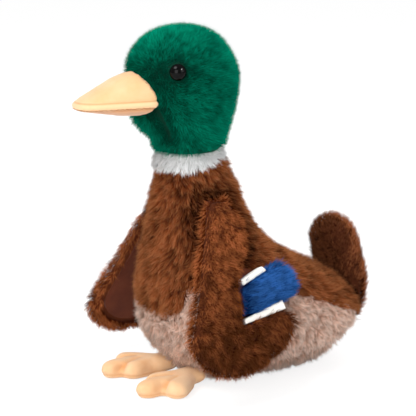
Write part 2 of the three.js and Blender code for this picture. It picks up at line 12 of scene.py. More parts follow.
import bpy
import numpy as np
from mathutils import Vector, noise
from mathutils.bvhtree import BVHTree
from mathutils.kdtree import KDTree
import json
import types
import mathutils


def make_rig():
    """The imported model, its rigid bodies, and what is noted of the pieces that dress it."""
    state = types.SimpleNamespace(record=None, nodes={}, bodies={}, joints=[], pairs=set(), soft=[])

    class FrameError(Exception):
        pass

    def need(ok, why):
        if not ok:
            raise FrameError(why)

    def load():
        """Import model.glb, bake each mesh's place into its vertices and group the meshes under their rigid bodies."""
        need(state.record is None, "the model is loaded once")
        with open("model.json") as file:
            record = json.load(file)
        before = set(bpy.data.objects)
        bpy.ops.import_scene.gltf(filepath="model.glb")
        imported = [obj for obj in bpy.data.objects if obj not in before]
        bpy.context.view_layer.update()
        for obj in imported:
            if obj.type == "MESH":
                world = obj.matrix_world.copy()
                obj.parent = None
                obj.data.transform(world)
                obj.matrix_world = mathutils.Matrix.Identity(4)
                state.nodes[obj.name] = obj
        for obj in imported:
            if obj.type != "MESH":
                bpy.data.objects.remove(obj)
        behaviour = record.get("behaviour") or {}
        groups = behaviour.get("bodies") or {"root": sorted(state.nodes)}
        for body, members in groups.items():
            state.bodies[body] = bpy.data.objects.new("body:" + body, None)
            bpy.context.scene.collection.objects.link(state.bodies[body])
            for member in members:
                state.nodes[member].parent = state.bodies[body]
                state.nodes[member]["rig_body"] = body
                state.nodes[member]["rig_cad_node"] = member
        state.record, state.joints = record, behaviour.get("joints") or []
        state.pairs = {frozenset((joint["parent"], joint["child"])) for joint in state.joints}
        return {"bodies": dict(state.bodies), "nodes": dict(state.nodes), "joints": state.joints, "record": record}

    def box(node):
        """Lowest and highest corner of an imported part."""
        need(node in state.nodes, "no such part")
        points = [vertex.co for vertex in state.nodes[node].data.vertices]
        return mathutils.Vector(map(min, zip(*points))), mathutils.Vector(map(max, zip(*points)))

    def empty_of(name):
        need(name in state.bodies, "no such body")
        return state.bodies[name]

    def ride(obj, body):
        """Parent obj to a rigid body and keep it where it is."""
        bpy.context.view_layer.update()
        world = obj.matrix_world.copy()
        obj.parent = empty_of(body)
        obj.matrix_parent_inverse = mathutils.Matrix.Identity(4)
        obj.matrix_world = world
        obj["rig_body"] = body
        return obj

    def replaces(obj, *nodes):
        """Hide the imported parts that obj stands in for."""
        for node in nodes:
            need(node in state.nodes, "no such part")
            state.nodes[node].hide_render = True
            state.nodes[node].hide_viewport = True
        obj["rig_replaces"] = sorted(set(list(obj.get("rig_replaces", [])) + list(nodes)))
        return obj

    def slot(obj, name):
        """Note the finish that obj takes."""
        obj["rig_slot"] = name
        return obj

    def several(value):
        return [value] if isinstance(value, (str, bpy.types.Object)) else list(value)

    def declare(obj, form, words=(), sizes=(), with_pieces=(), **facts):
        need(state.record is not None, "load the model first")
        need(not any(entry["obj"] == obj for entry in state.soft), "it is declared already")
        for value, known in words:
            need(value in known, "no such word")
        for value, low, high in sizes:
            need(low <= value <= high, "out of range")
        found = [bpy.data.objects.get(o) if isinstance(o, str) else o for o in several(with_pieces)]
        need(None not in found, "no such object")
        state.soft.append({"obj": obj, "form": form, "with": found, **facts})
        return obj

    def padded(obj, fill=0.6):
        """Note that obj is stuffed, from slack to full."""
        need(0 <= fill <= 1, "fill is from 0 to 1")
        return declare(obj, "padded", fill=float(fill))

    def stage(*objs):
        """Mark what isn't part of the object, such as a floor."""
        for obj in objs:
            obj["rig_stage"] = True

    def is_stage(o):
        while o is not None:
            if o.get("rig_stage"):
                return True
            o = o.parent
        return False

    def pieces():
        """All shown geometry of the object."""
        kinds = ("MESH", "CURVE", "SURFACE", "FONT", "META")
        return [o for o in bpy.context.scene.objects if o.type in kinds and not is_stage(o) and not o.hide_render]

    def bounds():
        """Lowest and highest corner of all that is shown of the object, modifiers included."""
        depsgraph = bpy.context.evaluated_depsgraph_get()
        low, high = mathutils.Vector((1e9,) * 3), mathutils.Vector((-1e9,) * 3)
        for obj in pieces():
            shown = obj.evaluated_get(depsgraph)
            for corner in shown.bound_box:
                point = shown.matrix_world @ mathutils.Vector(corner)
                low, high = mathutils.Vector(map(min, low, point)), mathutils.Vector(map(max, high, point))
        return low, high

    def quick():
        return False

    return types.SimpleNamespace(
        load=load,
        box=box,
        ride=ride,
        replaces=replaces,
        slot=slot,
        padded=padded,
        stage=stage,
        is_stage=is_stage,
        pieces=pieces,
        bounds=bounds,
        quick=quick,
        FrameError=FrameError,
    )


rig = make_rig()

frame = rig.load()
cad_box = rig.bounds()
bpy.ops.object.select_all(action="DESELECT")
# Without a seed, noise_vector takes its offsets from the clock
noise.seed_set(3)

MM = 0.001
scene = bpy.context.scene
nodes = frame["nodes"]

# %% [markdown]
# The maker's drawing
#
# Seams are read from the toy's drawing, which is in millimetres and has its zero on the
# floor under the shoulders. The neck joint is on the drawing too, 17.4 mm in front of that
# zero in the middle plane, so the joint's place in the model tells the drawing's shift.

# %% Seams of the drawing
NECK_FORWARD = 17.4
neck_joint = next(j["pos_m"] for j in frame["joints"] if j["name"] == "head_turn")
side_shift = neck_joint[0] / MM
drawing_shift = neck_joint[1] / MM + NECK_FORWARD
NECK_SEAM = 162.0
BAND_SEAM = 150.0
flank_seam_mm = [
    (-96, 16.2), (-45.9, 46), (-37.3, 67.6), (-15, 76), (36, 62.9), (105.9, 35.6), (160, 19.4)]
base_seam_mm = [
    (-96, 17), (0, 18), (40, 19.4), (80, 23), (104, 27.2), (125, 27.9), (160, 16.2)]


def drawn(x, y, z):
    """A point of the drawing as a point of the model, in metres."""
    return Vector((x + side_shift, y + drawing_shift, z)) * MM


def smooth_line(points, steps=12):
    """Points of a smooth line through the given ones."""
    points = np.array(points, float)
    padded = np.vstack([points[0] * 2 - points[1], points, points[-1] * 2 - points[-2]])
    line = []
    for a, b, c, d in zip(padded, padded[1:], padded[2:], padded[3:]):
        for t in np.arange(steps) / steps:
            line.append(
                0.5 * (2 * b + (c - a) * t + (2 * a - 5 * b + 4 * c - d) * t**2
                       + (3 * b - a - 3 * c + d) * t**3))
    line.append(points[-1])
    return np.array(line)


flank_line = smooth_line(flank_seam_mm)
base_line = smooth_line(base_seam_mm)


def over_line(points, line):
    """How far points in metres lie above a seam of the side view, in millimetres."""
    back = points[:, 1] / MM - drawing_shift
    return points[:, 2] / MM - np.interp(back, line[:, 0], line[:, 1])


# %% [markdown]
# Camera
#
# The photograph was taken from the duck's left and slightly above, with a long lens: its
# lines hardly converge. The camera stands 1.15 m away and looks at the middle of the toy.

# %% Camera


def linked(name, data):
    """A new object of the scene that shows this data."""
    made = bpy.data.objects.new(name, data)
    scene.collection.objects.link(made)
    return made


AIM = drawn(20, -15, 124)
CAMERA_TURN = math.radians(59)
CAMERA_RISE = math.radians(12.5)
CAMERA_DISTANCE = 1.15
FRAME_WIDTH = 416 * 0.678 * MM

camera_data = bpy.data.cameras.new("camera")
camera = linked("camera", camera_data)
sight = Vector((
    math.sin(CAMERA_TURN) * math.cos(CAMERA_RISE),
    -math.cos(CAMERA_TURN) * math.cos(CAMERA_RISE),
    math.sin(CAMERA_RISE)))
camera.location = AIM + sight * CAMERA_DISTANCE
camera.rotation_euler = sight.to_track_quat("Z", "Y").to_euler()
camera_data.sensor_width = 36
camera_data.lens = 36 * CAMERA_DISTANCE / FRAME_WIDTH
camera_data.clip_end = 50
scene.camera = camera
scene.view_settings.view_transform = "Standard"
print("lens", round(camera_data.lens, 1), "mm at", tuple(round(v, 3) for v in camera.location))

# %% [markdown]
# Colour and material helpers
#
# Colours are given as sRGB hex values, as on a screen. The shader works
# in linear light, and one function converts them. One small function adds a node with its
# settings and links, so that every material below reads as a list of what it is made of.

# %% Helpers for materials


def colour(code):
    """An sRGB hex colour as linear red, green, blue and alpha."""
    parts = [int(code[i:i + 2], 16) / 255 for i in (1, 3, 5)]
    return [c / 12.92 if c <= 0.04045 else ((c + 0.055) / 1.055) ** 2.4 for c in parts] + [1]


def add_node(tree, kind, settings=None, inputs=None):
    """Adds a shader node, sets its properties, and fills its sockets with values or links."""
    made = tree.nodes.new("ShaderNode" + kind)
    for name, value in (settings or {}).items():
        setattr(made, name, value)
    for name, value in (inputs or {}).items():
        if isinstance(value, bpy.types.NodeSocket):
            tree.links.new(value, made.inputs[name])
        else:
            made.inputs[name].default_value = value
    return made


def start_material(name):
    """An empty node material and its node tree."""
    material = bpy.data.materials.new(name)
    material.use_nodes = True
    material.node_tree.nodes.clear()
    return material, material.node_tree


# %% [markdown]
# Light and floor
#
# A catalogue photograph is lit by large softboxes. A big lamp high in front of the duck
# gives its crown and bill their light, a weaker one fills the side towards the camera, and
# the white surroundings lift the rest. The floor is a plain pale sheet. It shows as almost
# white to the camera, and it keeps the soft shadow under the toy.

# %% Light and floor


def soft_lamp(name, place, size, watts):
    """A square softbox that faces the toy."""
    data = bpy.data.lights.new(name, "AREA")
    data.size = size
    data.energy = watts
    lamp = linked(name, data)
    lamp.location = place
    lamp.rotation_euler = (Vector(place) - AIM).to_track_quat("Z", "Y").to_euler()
    return lamp


soft_lamp("key_softbox", (0.25, -0.85, 1.40), 0.8, 14.2)
soft_lamp("front_softbox", (0.95, -1.00, 0.50), 0.8, 6.4)
# The small lamp only mirrors in the eyes
glint = soft_lamp("glint_lamp", (1.25, 0.42, 1.05), 0.08, 5)
glint.visible_diffuse = False
soft_lamp("side_softbox", (1.30, 0.55, 0.75), 0.9, 6)
soft_lamp("back_softbox", (-0.80, 0.90, 0.9), 0.8, 6)

world = bpy.data.worlds.new("white_studio")
scene.world = world
world.use_nodes = True
tree = world.node_tree
tree.nodes.clear()
ray = add_node(tree, "LightPath")
seen = add_node(tree, "Background", inputs={"Color": colour("#ffffff"), "Strength": 1})
lit = add_node(tree, "Background", inputs={"Color": colour("#ffffff"), "Strength": 0.52})
both = add_node(tree, "MixShader", inputs={
    0: ray.outputs["Is Camera Ray"], 1: lit.outputs[0], 2: seen.outputs[0]})
add_node(tree, "OutputWorld", inputs={"Surface": both.outputs[0]})

bpy.ops.mesh.primitive_plane_add(size=6, location=(0, 0, -0.0002))
floor = bpy.context.object
floor.name = "floor"
paper, tree = start_material("white_paper_roll")
sheet = add_node(tree, "BsdfDiffuse", inputs={"Color": colour("#f2f2f2")})
glow = add_node(tree, "Emission", inputs={"Color": colour("#ffffff"), "Strength": 1.3})
ray = add_node(tree, "LightPath")
shown = add_node(tree, "Math", {"operation": "MULTIPLY"}, {
    0: ray.outputs["Is Camera Ray"], 1: 0.62})
blend = add_node(tree, "MixShader", inputs={
    0: shown.outputs[0], 1: sheet.outputs[0], 2: glow.outputs[0]})
add_node(tree, "OutputMaterial", inputs={"Surface": blend.outputs[0]})
floor.data.materials.append(paper)
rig.stage(floor)

# %% [markdown]
# Pile fabric
#
# Faux fur is acrylic pile on a knitted backing. Where it is seen end-on, the eye looks down
# between the strands into shade, so the middle of a form looks deep in colour; at its rim
# the strands are seen from the side and look light. Two attributes on the pile carry this
# as painted shade and light: pile_height runs from 0 at the root to 1 at the tip, and a
# ramp paints the roots dark and the tips light along it; tuft_tint differs by tuft, and
# also carries painted shade at the edges of the tufts and wherever a pile is given shade.

# %% Pile and backing


def object_noise(tree, size, detail):
    """A noise that stays on its piece, with specks of this size in millimetres."""
    place = add_node(tree, "TexCoord")
    return add_node(tree, "TexNoise", inputs={
        "Vector": place.outputs["Object"], "Scale": 1 / (size * MM), "Detail": detail})


def varied(tree, dye, by, low, high):
    """A colour made darker and lighter by a noise or an attribute."""
    light = add_node(tree, "MapRange", inputs={
        "Value": by.outputs["Fac"], "To Min": low, "To Max": high})
    return add_node(tree, "HueSaturation", inputs={
        "Color": dye, "Value": light.outputs["Result"]}).outputs["Color"]


def pile_fabric(name, root, middle, tip, spread):
    """Acrylic pile from its root colour to its tip colour, uneven from tuft to tuft."""
    material, tree = start_material(name)
    height = add_node(tree, "Attribute", {"attribute_name": "pile_height"})
    tuft = add_node(tree, "Attribute", {"attribute_name": "tuft_tint"})
    # Painted shade and light: the ramp darkens the roots and lightens the tips
    ramp = add_node(tree, "ValToRGB", inputs={"Fac": height.outputs["Fac"]})
    stops = ramp.color_ramp.elements
    stops[0].color = colour(root)
    stops[1].color = colour(tip)
    stops.new(0.5).color = colour(middle)
    # tuft_tint varies the colour by tuft and also carries painted shade
    tinted = varied(tree, ramp.outputs["Color"], tuft, 1 - spread, 1 + spread * 0.6)
    fibre = add_node(tree, "BsdfPrincipled", inputs={
        "Base Color": tinted, "Roughness": 0.8, "Specular IOR Level": 0})
    add_node(tree, "OutputMaterial", inputs={"Surface": fibre.outputs[0]})
    return material


def backing_cloth(name, dye):
    """The knitted backing that the pile grows from: the pile's dye, mostly darkened as painted
    shade. Stitches: 1.2 mm.
    """
    material, tree = start_material(name)
    place = add_node(tree, "TexCoord")
    knit = add_node(tree, "TexVoronoi", inputs={
        "Vector": place.outputs["Object"], "Scale": 1 / (1.2 * MM)})
    patch = object_noise(tree, 9, 3)
    tinted = varied(tree, colour(dye), patch, 0.7, 1.2)
    bump = add_node(tree, "Bump", inputs={
        "Height": knit.outputs["Distance"], "Distance": 0.3 * MM, "Strength": 0.6})
    cloth = add_node(tree, "BsdfPrincipled", inputs={
        "Base Color": tinted, "Roughness": 0.9, "Specular IOR Level": 0.2,
        "Normal": bump.outputs["Normal"]})
    add_node(tree, "OutputMaterial", inputs={"Surface": cloth.outputs[0]})
    return material


# dye: colours at the root, the middle and the tip, and how much the tufts differ. The darker
# root is painted shade deep in the pile, and the lighter tip painted light.
pile_plan = {
    "green": ("#012a20", "#026c52", "#08a884", 0.6),
    "white": ("#f4f5f3", "#fbfbfa", "#ffffff", 0.06),
    "brown": ("#3e1707", "#8c4724", "#c68355", 0.95),
    "long_brown": ("#2c0d03", "#743314", "#b56a3e", 0.75),
    "dark_brown": ("#1e0802", "#55230f", "#b36c45", 0.6),
    "taupe": ("#a87b66", "#e9bfa9", "#ffebdd", 0.45),
    "blue": ("#011a52", "#023a84", "#3c74bf", 0.6),
}
# Most backings are darker than the middle of their pile: painted shade in the gaps between the strands
backing_plan = {"green": "#04402f", "white": "#f2f3f1", "brown": "#5a2a12",
                "taupe": "#b9917e", "blue": "#0a3a80"}
pile = {dye: pile_fabric(f"{dye}_acrylic_pile", *plan) for dye, plan in pile_plan.items()}
backing = {dye: backing_cloth(f"{dye}_knitted_backing", tone)
           for dye, tone in backing_plan.items()}

# %% [markdown]
# Velour, satin and the rest
#
# The bill and the feet are velour: a knit with a nap of well under a millimetre, which
# looks smooth and catches a little light at its edges. The stripes are satin ribbon, the
# wings are lined with a flat brushed cloth, and the eyes are polished black plastic.

# %% Smooth fabrics and plastics


def napped_cloth(name, dye, shade, nap=0.5, sheen=0.35, depth=0.12):
    """Short-napped cloth: nap is the size of its brushed specks in millimetres."""
    material, tree = start_material(name)
    brushed = object_noise(tree, nap, 4)
    clouds = object_noise(tree, 14, 3)
    mixed = add_node(tree, "MapRange", inputs={
        "Value": clouds.outputs["Fac"], "From Min": 0.3, "From Max": 0.7})
    tinted = add_node(tree, "Mix", {"data_type": "RGBA"}, {
        0: mixed.outputs["Result"], 6: colour(dye), 7: colour(shade)})
    bump = add_node(tree, "Bump", inputs={
        "Height": brushed.outputs["Fac"], "Distance": depth * MM, "Strength": 1})
    cloth = add_node(tree, "BsdfPrincipled", inputs={
        "Base Color": tinted.outputs[2], "Roughness": 0.85, "Specular IOR Level": 0.2,
        "Sheen Weight": sheen, "Sheen Roughness": 0.5, "Normal": bump.outputs["Normal"]})
    add_node(tree, "OutputMaterial", inputs={"Surface": cloth.outputs[0]})
    return material


def dye_of(material):
    """A cloth's node tree, its colour socket, and the socket that feeds it."""
    tree = material.node_tree
    cloth = next(node for node in tree.nodes if node.type == "BSDF_PRINCIPLED")
    dye = cloth.inputs["Base Color"]
    return tree, dye, dye.links[0].from_socket


def seamed_velour(name, dye, shade, seam):
    """Velour with painted shade where the seams and creases draw it in."""
    material = napped_cloth(name, dye, shade)
    tree, dyed, plain = dye_of(material)
    drawn_in = add_node(tree, "Attribute", {"attribute_name": "painted_seam_shade"})
    shaded = add_node(tree, "Mix", {"data_type": "RGBA"}, {
        0: drawn_in.outputs["Fac"], 6: plain, 7: colour(seam)})
    tree.links.new(shaded.outputs[2], dyed)
    return material


def welted_velour(name, upper, lip, under):
    """Velour of the bill by height, with painted shade in the two seams beside the welt."""
    material = napped_cloth(name, *upper)
    tree, dyed, plain = dye_of(material)
    place = add_node(tree, "TexCoord")
    split = add_node(tree, "SeparateXYZ", inputs={0: place.outputs["Object"]})
    across = add_node(tree, "MapRange", inputs={
        "Value": split.outputs["Z"], "From Min": (lip_middle - 5) * MM,
        "From Max": (lip_middle + 5) * MM})
    ramp = add_node(tree, "ValToRGB", inputs={"Fac": across.outputs["Result"]})
    stops = ramp.color_ramp.elements
    # The stops at 0.25 and 0.77 are painted shade in the seams; the underside is pinker, and its darkness is partly
    # painted shade
    stops[0].position, stops[0].color = 0.17, colour(under)
    stops[1].position, stops[1].color = 0.85, colour(upper[0])
    for at, dye in ((0.25, "#c98f60"), (0.33, lip), (0.68, lip), (0.77, "#d9a470")):
        stops.new(at).color = colour(dye)
    above = add_node(tree, "MapRange", inputs={
        "Value": across.outputs["Result"], "From Min": 0.8, "From Max": 0.9})
    both = add_node(tree, "Mix", {"data_type": "RGBA"}, {
        0: above.outputs["Result"], 6: ramp.outputs["Color"], 7: plain})
    tree.links.new(both.outputs[2], dyed)
    return material


def moulded_plastic(name, tint, roughness, shine):
    """Injection-moulded plastic, with a polish that wanders slightly over 4 mm."""
    material, tree = start_material(name)
    polish = object_noise(tree, 4, 2)
    rough = add_node(tree, "MapRange", inputs={
        "Value": polish.outputs["Fac"], "To Min": roughness * 0.8, "To Max": roughness * 1.2})
    plastic = add_node(tree, "BsdfPrincipled", inputs={
        "Base Color": colour(tint), "Roughness": rough.outputs["Result"], "IOR": 1.49,
        "Specular IOR Level": shine})
    add_node(tree, "OutputMaterial", inputs={"Surface": plastic.outputs[0]})
    return material


# The third colour is painted shade in the seams and creases of the feet
peach_velour = seamed_velour("peach_polyester_velour", "#fad2a6", "#f4bf8c", "#d98f4f")
lip_low, lip_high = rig.box("bill_lip")
lip_middle = (lip_low[2] + lip_high[2]) / 2 / MM
bill_velour = welted_velour(
    "bill_polyester_velour", ("#f3c597", "#f0b985"), "#f5ca9b", "#dca47a")
lining_cloth = napped_cloth(
    "brown_brushed_lining", "#5a260f", "#6c3217", nap=0.8, sheen=0.15)
satin_ribbon = napped_cloth("ivory_satin_ribbon", "#fbf9f3", "#f2eee4", 0.3, 0.6, 0.03)
thread = napped_cloth("peach_polyester_thread", "#b9743f", "#a8652f", nap=0.3, sheen=0.1)
black_plastic = moulded_plastic("polished_black_acrylic", "#020202", 0.04, 0.14)
washer_plastic = moulded_plastic("natural_nylon", "#dfe0dc", 0.45, 0.5)

# %% [markdown]
# Stuffed forms
#
# A stuffed piece is swollen by its filling. Each form is made from a copy of the solids
# that the construction gives it: they are joined, remeshed into even squares, drawn in a
# little, and then blown up as cloth from inside with gravity off. No point may move more
# than a set distance, so that each form keeps its size and stays clear of its neighbours.
# All the forms swell in the same twenty frames. A last even step brings each form's mean
# swelling to four fifths of its cap, so that its size is known.

# %% Helpers for the stuffed forms


def only(obj):
    """Selects one object alone and makes it the active one."""
    bpy.ops.object.select_all(action="DESELECT")
    obj.select_set(True)
    bpy.context.view_layer.objects.active = obj


def enter(mode):
    """Goes to edit mode or back to object mode."""
    bpy.ops.object.mode_set(mode=mode)


def apply_modifier(obj, name, kind, **settings):
    """Adds a modifier, sets it and applies it."""
    modifier = obj.modifiers.new(name, kind)
    for key, value in settings.items():
        setattr(modifier, key, value)
    only(obj)
    bpy.ops.object.modifier_apply(modifier=modifier.name)


def rows_of(elements, what, width=3, kind=float):
    """One property of the elements of a mesh, with a row for each element."""
    values = np.empty(len(elements) * width, kind)
    elements.foreach_get(what, values)
    return values.reshape(-1, width)


def places_of(obj):
    """The places of an object's vertices."""
    return rows_of(obj.data.vertices, "co")


def surface_of(obj):
    """The places and the normals of an object's vertices."""
    return places_of(obj), rows_of(obj.data.vertex_normals, "vector")


def stored(mesh, name, values):
    """Stores a number for each vertex, which the materials read."""
    made = mesh.attributes.new(name, "FLOAT", "POINT")
    made.data.foreach_set("value", values.astype(np.float32))


def smooth_shaded(mesh):
    """Shades all the faces of a mesh smooth."""
    mesh.polygons.foreach_set("use_smooth", np.ones(len(mesh.polygons), bool))


def dressed(piece, material, body_name, slot, replaced):
    """Gives a piece its cloth, its body and its finish, and hides the solids it stands for."""
    piece.data.materials.clear()
    piece.data.materials.append(material)
    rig.ride(piece, body_name)
    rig.slot(piece, slot)
    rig.replaces(piece, *replaced)


def set_vertices(obj, places):
    """Writes the places of an object's vertices, none of them under the floor."""
    places = np.array(places)
    places[:, 2] = np.maximum(places[:, 2], 0)
    obj.data.vertices.foreach_set("co", places.ravel())
    obj.data.update()


def remeshed(obj, voxel):
    """Covers an object anew with even squares, whose size is in millimetres."""
    apply_modifier(obj, "even_squares", "REMESH", mode="VOXEL", voxel_size=voxel * MM)


def merged_copy(name, node_names):
    """One mesh of the solids with these names, with their triangles joined up."""
    copies = []
    for node_name in node_names:
        copy = linked(name, nodes[node_name].data.copy())
        copy.data.materials.clear()
        copies.append(copy)
    only(copies[0])
    for copy in copies:
        copy.select_set(True)
    if len(copies) > 1:
        bpy.ops.object.join()
    enter("EDIT")
    bpy.ops.mesh.select_all(action="SELECT")
    bpy.ops.mesh.remove_doubles(threshold=0.01 * MM)
    enter("OBJECT")
    return copies[0]


def parts_of(mesh):
    """For each vertex, a number that it shares with all the vertices joined to it."""
    group = np.arange(len(mesh.vertices))
    edges = rows_of(mesh.edges, "vertices", 2, int)
    while True:
        low = np.minimum(group[edges[:, 0]], group[edges[:, 1]])
        before = group.copy()
        np.minimum.at(group, edges[:, 0], low)
        np.minimum.at(group, edges[:, 1], low)
        group = group[group]
        if (group == before).all():
            return group


def delete_where(form, unwanted, kind):
    """Deletes the vertices or faces that a mask names."""
    only(form)
    enter("EDIT")
    bpy.ops.mesh.select_mode(type=kind)
    bpy.ops.mesh.select_all(action="DESELECT")
    enter("OBJECT")
    rows = form.data.vertices if kind == "VERT" else form.data.polygons
    rows.foreach_set("select", unwanted)
    enter("EDIT")
    bpy.ops.mesh.delete(type=kind)
    enter("OBJECT")


def filled_form(name, node_names, voxel):
    """One closed form of even squares around the solids with these names."""
    form = merged_copy(name, node_names)
    remeshed(form, voxel)
    group = parts_of(form.data)
    names, sizes = np.unique(group, return_counts=True)
    stray = group != names[sizes.argmax()]
    if stray.any():
        delete_where(form, stray, "VERT")
    return form


def smoothed(form, rounds):
    """Evens out the steps that a remesh leaves."""
    apply_modifier(form, "even_out", "SMOOTH", factor=0.5, iterations=rounds)


def moved_out(form, distance):
    """Moves the vertices along their normals, by one distance in millimetres or one each."""
    places, normals = surface_of(form)
    set_vertices(form, places + normals * np.reshape(distance, (-1, 1)) * MM)


# %% [markdown]
# The forms and how far each may swell
#
# Under the pile the cloth lies about 3 mm inside the solids, which reach to the middle of
# the pile. Velour has no pile to speak of, so the bill and the feet keep their size.

# %% Make the forms
sides = {"left": 1, "right": -1}
# name: solids, voxel, drawn in, cap on swelling (mm)
form_plan = {
    "body_form": (("back_cover", "belly_cover", "base_panel", "neck_band", "body_stuffing"),
                  4.0, 3.3, 1.6),
    "head_form": (("head_cover", "head_stuffing", "left_eye_washer", "right_eye_washer"),
                  3.0, 3.2, 1.2),
    "tail_form": (("tail_cover", "tail_stuffing"), 3.0, 4.0, 1.6),
    "bill_form": (("bill_upper", "bill_lip", "bill_lower", "bill_stuffing"), 1.2, 0.5, 0.5),
}
for side in sides:
    form_plan[f"{side}_wing_form"] = ((f"{side}_wing_outer",), 2.2, 1.6, 1.4)
    form_plan[f"{side}_patch_form"] = ((f"{side}_wing_patch",), 1.4, 0.9, 0.8)
    form_plan[f"{side}_leg_form"] = (
        (f"{side}_leg_cover", f"{side}_foot_sole", f"{side}_leg_stuffing"), 1.5, 0.2, 0.9)

forms = {}
for name, (node_names, voxel, drawn_in, _) in form_plan.items():
    form = filled_form(name, node_names, voxel)
    smoothed(form, 3)
    moved_out(form, -drawn_in)
    forms[name] = form

# %% Swell the forms
SWELL_FRAMES = 20
SWELL_SHARE = 0.8
rest_places = {name: places_of(form) for name, form in forms.items()}
for name, form in forms.items():
    rest = form.data.attributes.new("rest_place", "FLOAT_VECTOR", "POINT")
    rest.data.foreach_set("vector", rest_places[name].ravel().astype(np.float32))
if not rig.quick():
    for form in forms.values():
        cloth = form.modifiers.new("filling", "CLOTH")
        cloth.settings.use_pressure = True
        cloth.settings.uniform_pressure_force = 4
        cloth.settings.effector_weights.gravity = 0
        cloth.point_cache.frame_start = 1
        cloth.point_cache.frame_end = SWELL_FRAMES
    for step in range(1, SWELL_FRAMES + 1):
        scene.frame_set(step)
    depsgraph = bpy.context.evaluated_depsgraph_get()
    for name, form in forms.items():
        move = places_of(form.evaluated_get(depsgraph)) - rest_places[name]
        length = np.linalg.norm(move, axis=1, keepdims=True)
        limit = form_plan[name][3] * MM
        form.modifiers.clear()
        normals = surface_of(form)[1]
        move *= np.minimum(1, limit / (length + 1e-9))
        mean = (move * normals).sum(1).mean()
        set_vertices(form, rest_places[name] + move + normals * (SWELL_SHARE * limit - mean))
        print(name, "swelled", round(float(mean) / MM, 2), "mm on average")
    scene.frame_set(1)
else:
    for name, form in forms.items():
        moved_out(form, form_plan[name][3] * SWELL_SHARE)

for name, form in forms.items():
    smoothed(form, 2)
    apply_modifier(form, "finer", "SUBSURF", levels=1, render_levels=1)

# %% [markdown]
# Welts and seams of the velour
#
# The mouth is a welt: a roll of cloth that runs round the bill, with a groove on each side
# where the seams draw the velour in. Each foot has a seam a little above the floor.

# %% Draw the grooves
BLUNT_TIP = 24 * MM
THROAT_DEPTH = 5
CREASE_REACH = 14 * MM
NECK_REACH, NECK_WIDER, NECK_CLOSER = 14, 2.2, 5.2


def ridge(height, middle, wide):
    """A smooth ridge of height 1 round a middle."""
    return np.exp(-(((height - middle) / wide) ** 2))


def share(values):
    """Values held between 0 and 1."""
    return np.clip(values, 0, 1)


def unit(rows):
    """Rows as unit vectors."""
    return rows / (np.linalg.norm(rows, axis=-1, keepdims=True) + 1e-12)


def foot_seam(places, normals):
    """How near places on the upright sides of a foot are to its seam, 3.2 mm up."""
    return ridge(places[:, 2] / MM, 3.2, 0.8) * (1 - np.abs(normals[:, 2]))


bill = forms["bill_form"]
places, normals = surface_of(bill)
height = places[:, 2] / MM - lip_middle
shape = 0.8 * ridge(height, 0, 1.8) - 0.7 * ridge(height, 2.8, 0.8)
shape -= 0.8 * ridge(height, -2.6, 0.8)
upright = 1 - np.abs(normals[:, 2]) ** 2
blunt = share((places[:, 1].min() + BLUNT_TIP - places[:, 1]) / BLUNT_TIP)
thicker = normals * np.array((1, 0.2, 1)) * (1.5 * blunt)[:, None]
set_vertices(bill, places + (normals * (shape * upright)[:, None] + thicker) * MM)
for side in sides:
    leg = forms[f"{side}_leg_form"]
    moved_out(leg, -0.5 * foot_seam(*surface_of(leg)))

# The throat is drawn in along a line from each corner of the mouth
crease_mm = [(17.7, -54.3, 194.1), (19, -52.1, 189.5), (19, -49.1, 183.9), (17.7, -46.1, 179.4),
             (14.8, -42.2, 173.9)]
creases = {
    mirror: smooth_line([drawn(x * mirror, y, z) for x, y, z in crease_mm], 5)
    for mirror in sides.values()}


def reach_of(points, line, through):
    """The distance in mm of each point from a line, as seen along the direction through."""
    through = np.array(through) / np.linalg.norm(through)
    apart = points[:, None] - line[None]
    along = apart @ through
    aside = np.linalg.norm(apart - along[:, :, None] * through, axis=2)
    return np.where(np.abs(along) < CREASE_REACH, aside, 1).min(1) / MM


def throat_creases(points, wide):
    """How near points are to the creases of the throat, seen along the way they are drawn in."""
    return sum(ridge(reach_of(points, line, (mirror * 0.8, -0.55, -0.2)), 0, wide)
               for mirror, line in creases.items())


head = forms["head_form"]
moved_out(head, -THROAT_DEPTH * throat_creases(places_of(head), 4))

# The forms of the head and the body end close beside the neck seam
body = forms["body_form"]
for form, inwards in ((head, 1), (body, -1)):
    places, normals = surface_of(form)
    near = share(1 - (places[:, 2] / MM - NECK_SEAM) * inwards / NECK_REACH) ** 2
    places += normals * np.array((1, 1, 0)) * near[:, None] * NECK_WIDER * MM
    places[:, 2] -= inwards * NECK_CLOSER * MM * near
    set_vertices(form, places)

# The filling settles forwards over the roots of the legs
places = places_of(body)
forwards = share((12 - places[:, 1] / MM + drawing_shift) / 25)
settled = 5.5 * forwards * share((46 - places[:, 2] / MM) / 30)
moved_out(body, settled)

# Two creases part the toes of each foot
for side, mirror in sides.items():
    leg = forms[f"{side}_leg_form"]
    places, normals = surface_of(leg)
    depth = np.zeros(len(places))
    for crease in ([(16, -66, 9), (19, -57, 9), (23, -46, 9)],
                   [(35.5, -64, 9), (33, -56, 9), (29, -46, 9)]):
        line = smooth_line([drawn(x * mirror, y, z) for x, y, z in crease], 6)
        fading = share((places[:, 1] - line[0, 1]) / (line[-1, 1] - line[0, 1]))
        depth += (2.8 - 1.8 * fading) * ridge(reach_of(places, line, (0, 0, 1)), 0, 2.2)
    depth *= share(normals[:, 2] + 0.4)
    moved_out(leg, -depth)
    # Painted shade in the toe creases and along the seam of each foot
    stored(leg.data, "painted_seam_shade", 0.3 * depth + 0.5 * foot_seam(places, normals))

# %% [markdown]
# Stitches of the bill
#
# A sewing machine leaves a dotted line: each stitch is a short length of thread that dips
# into the velour at both ends. One stitch is modelled and copied along the groove.

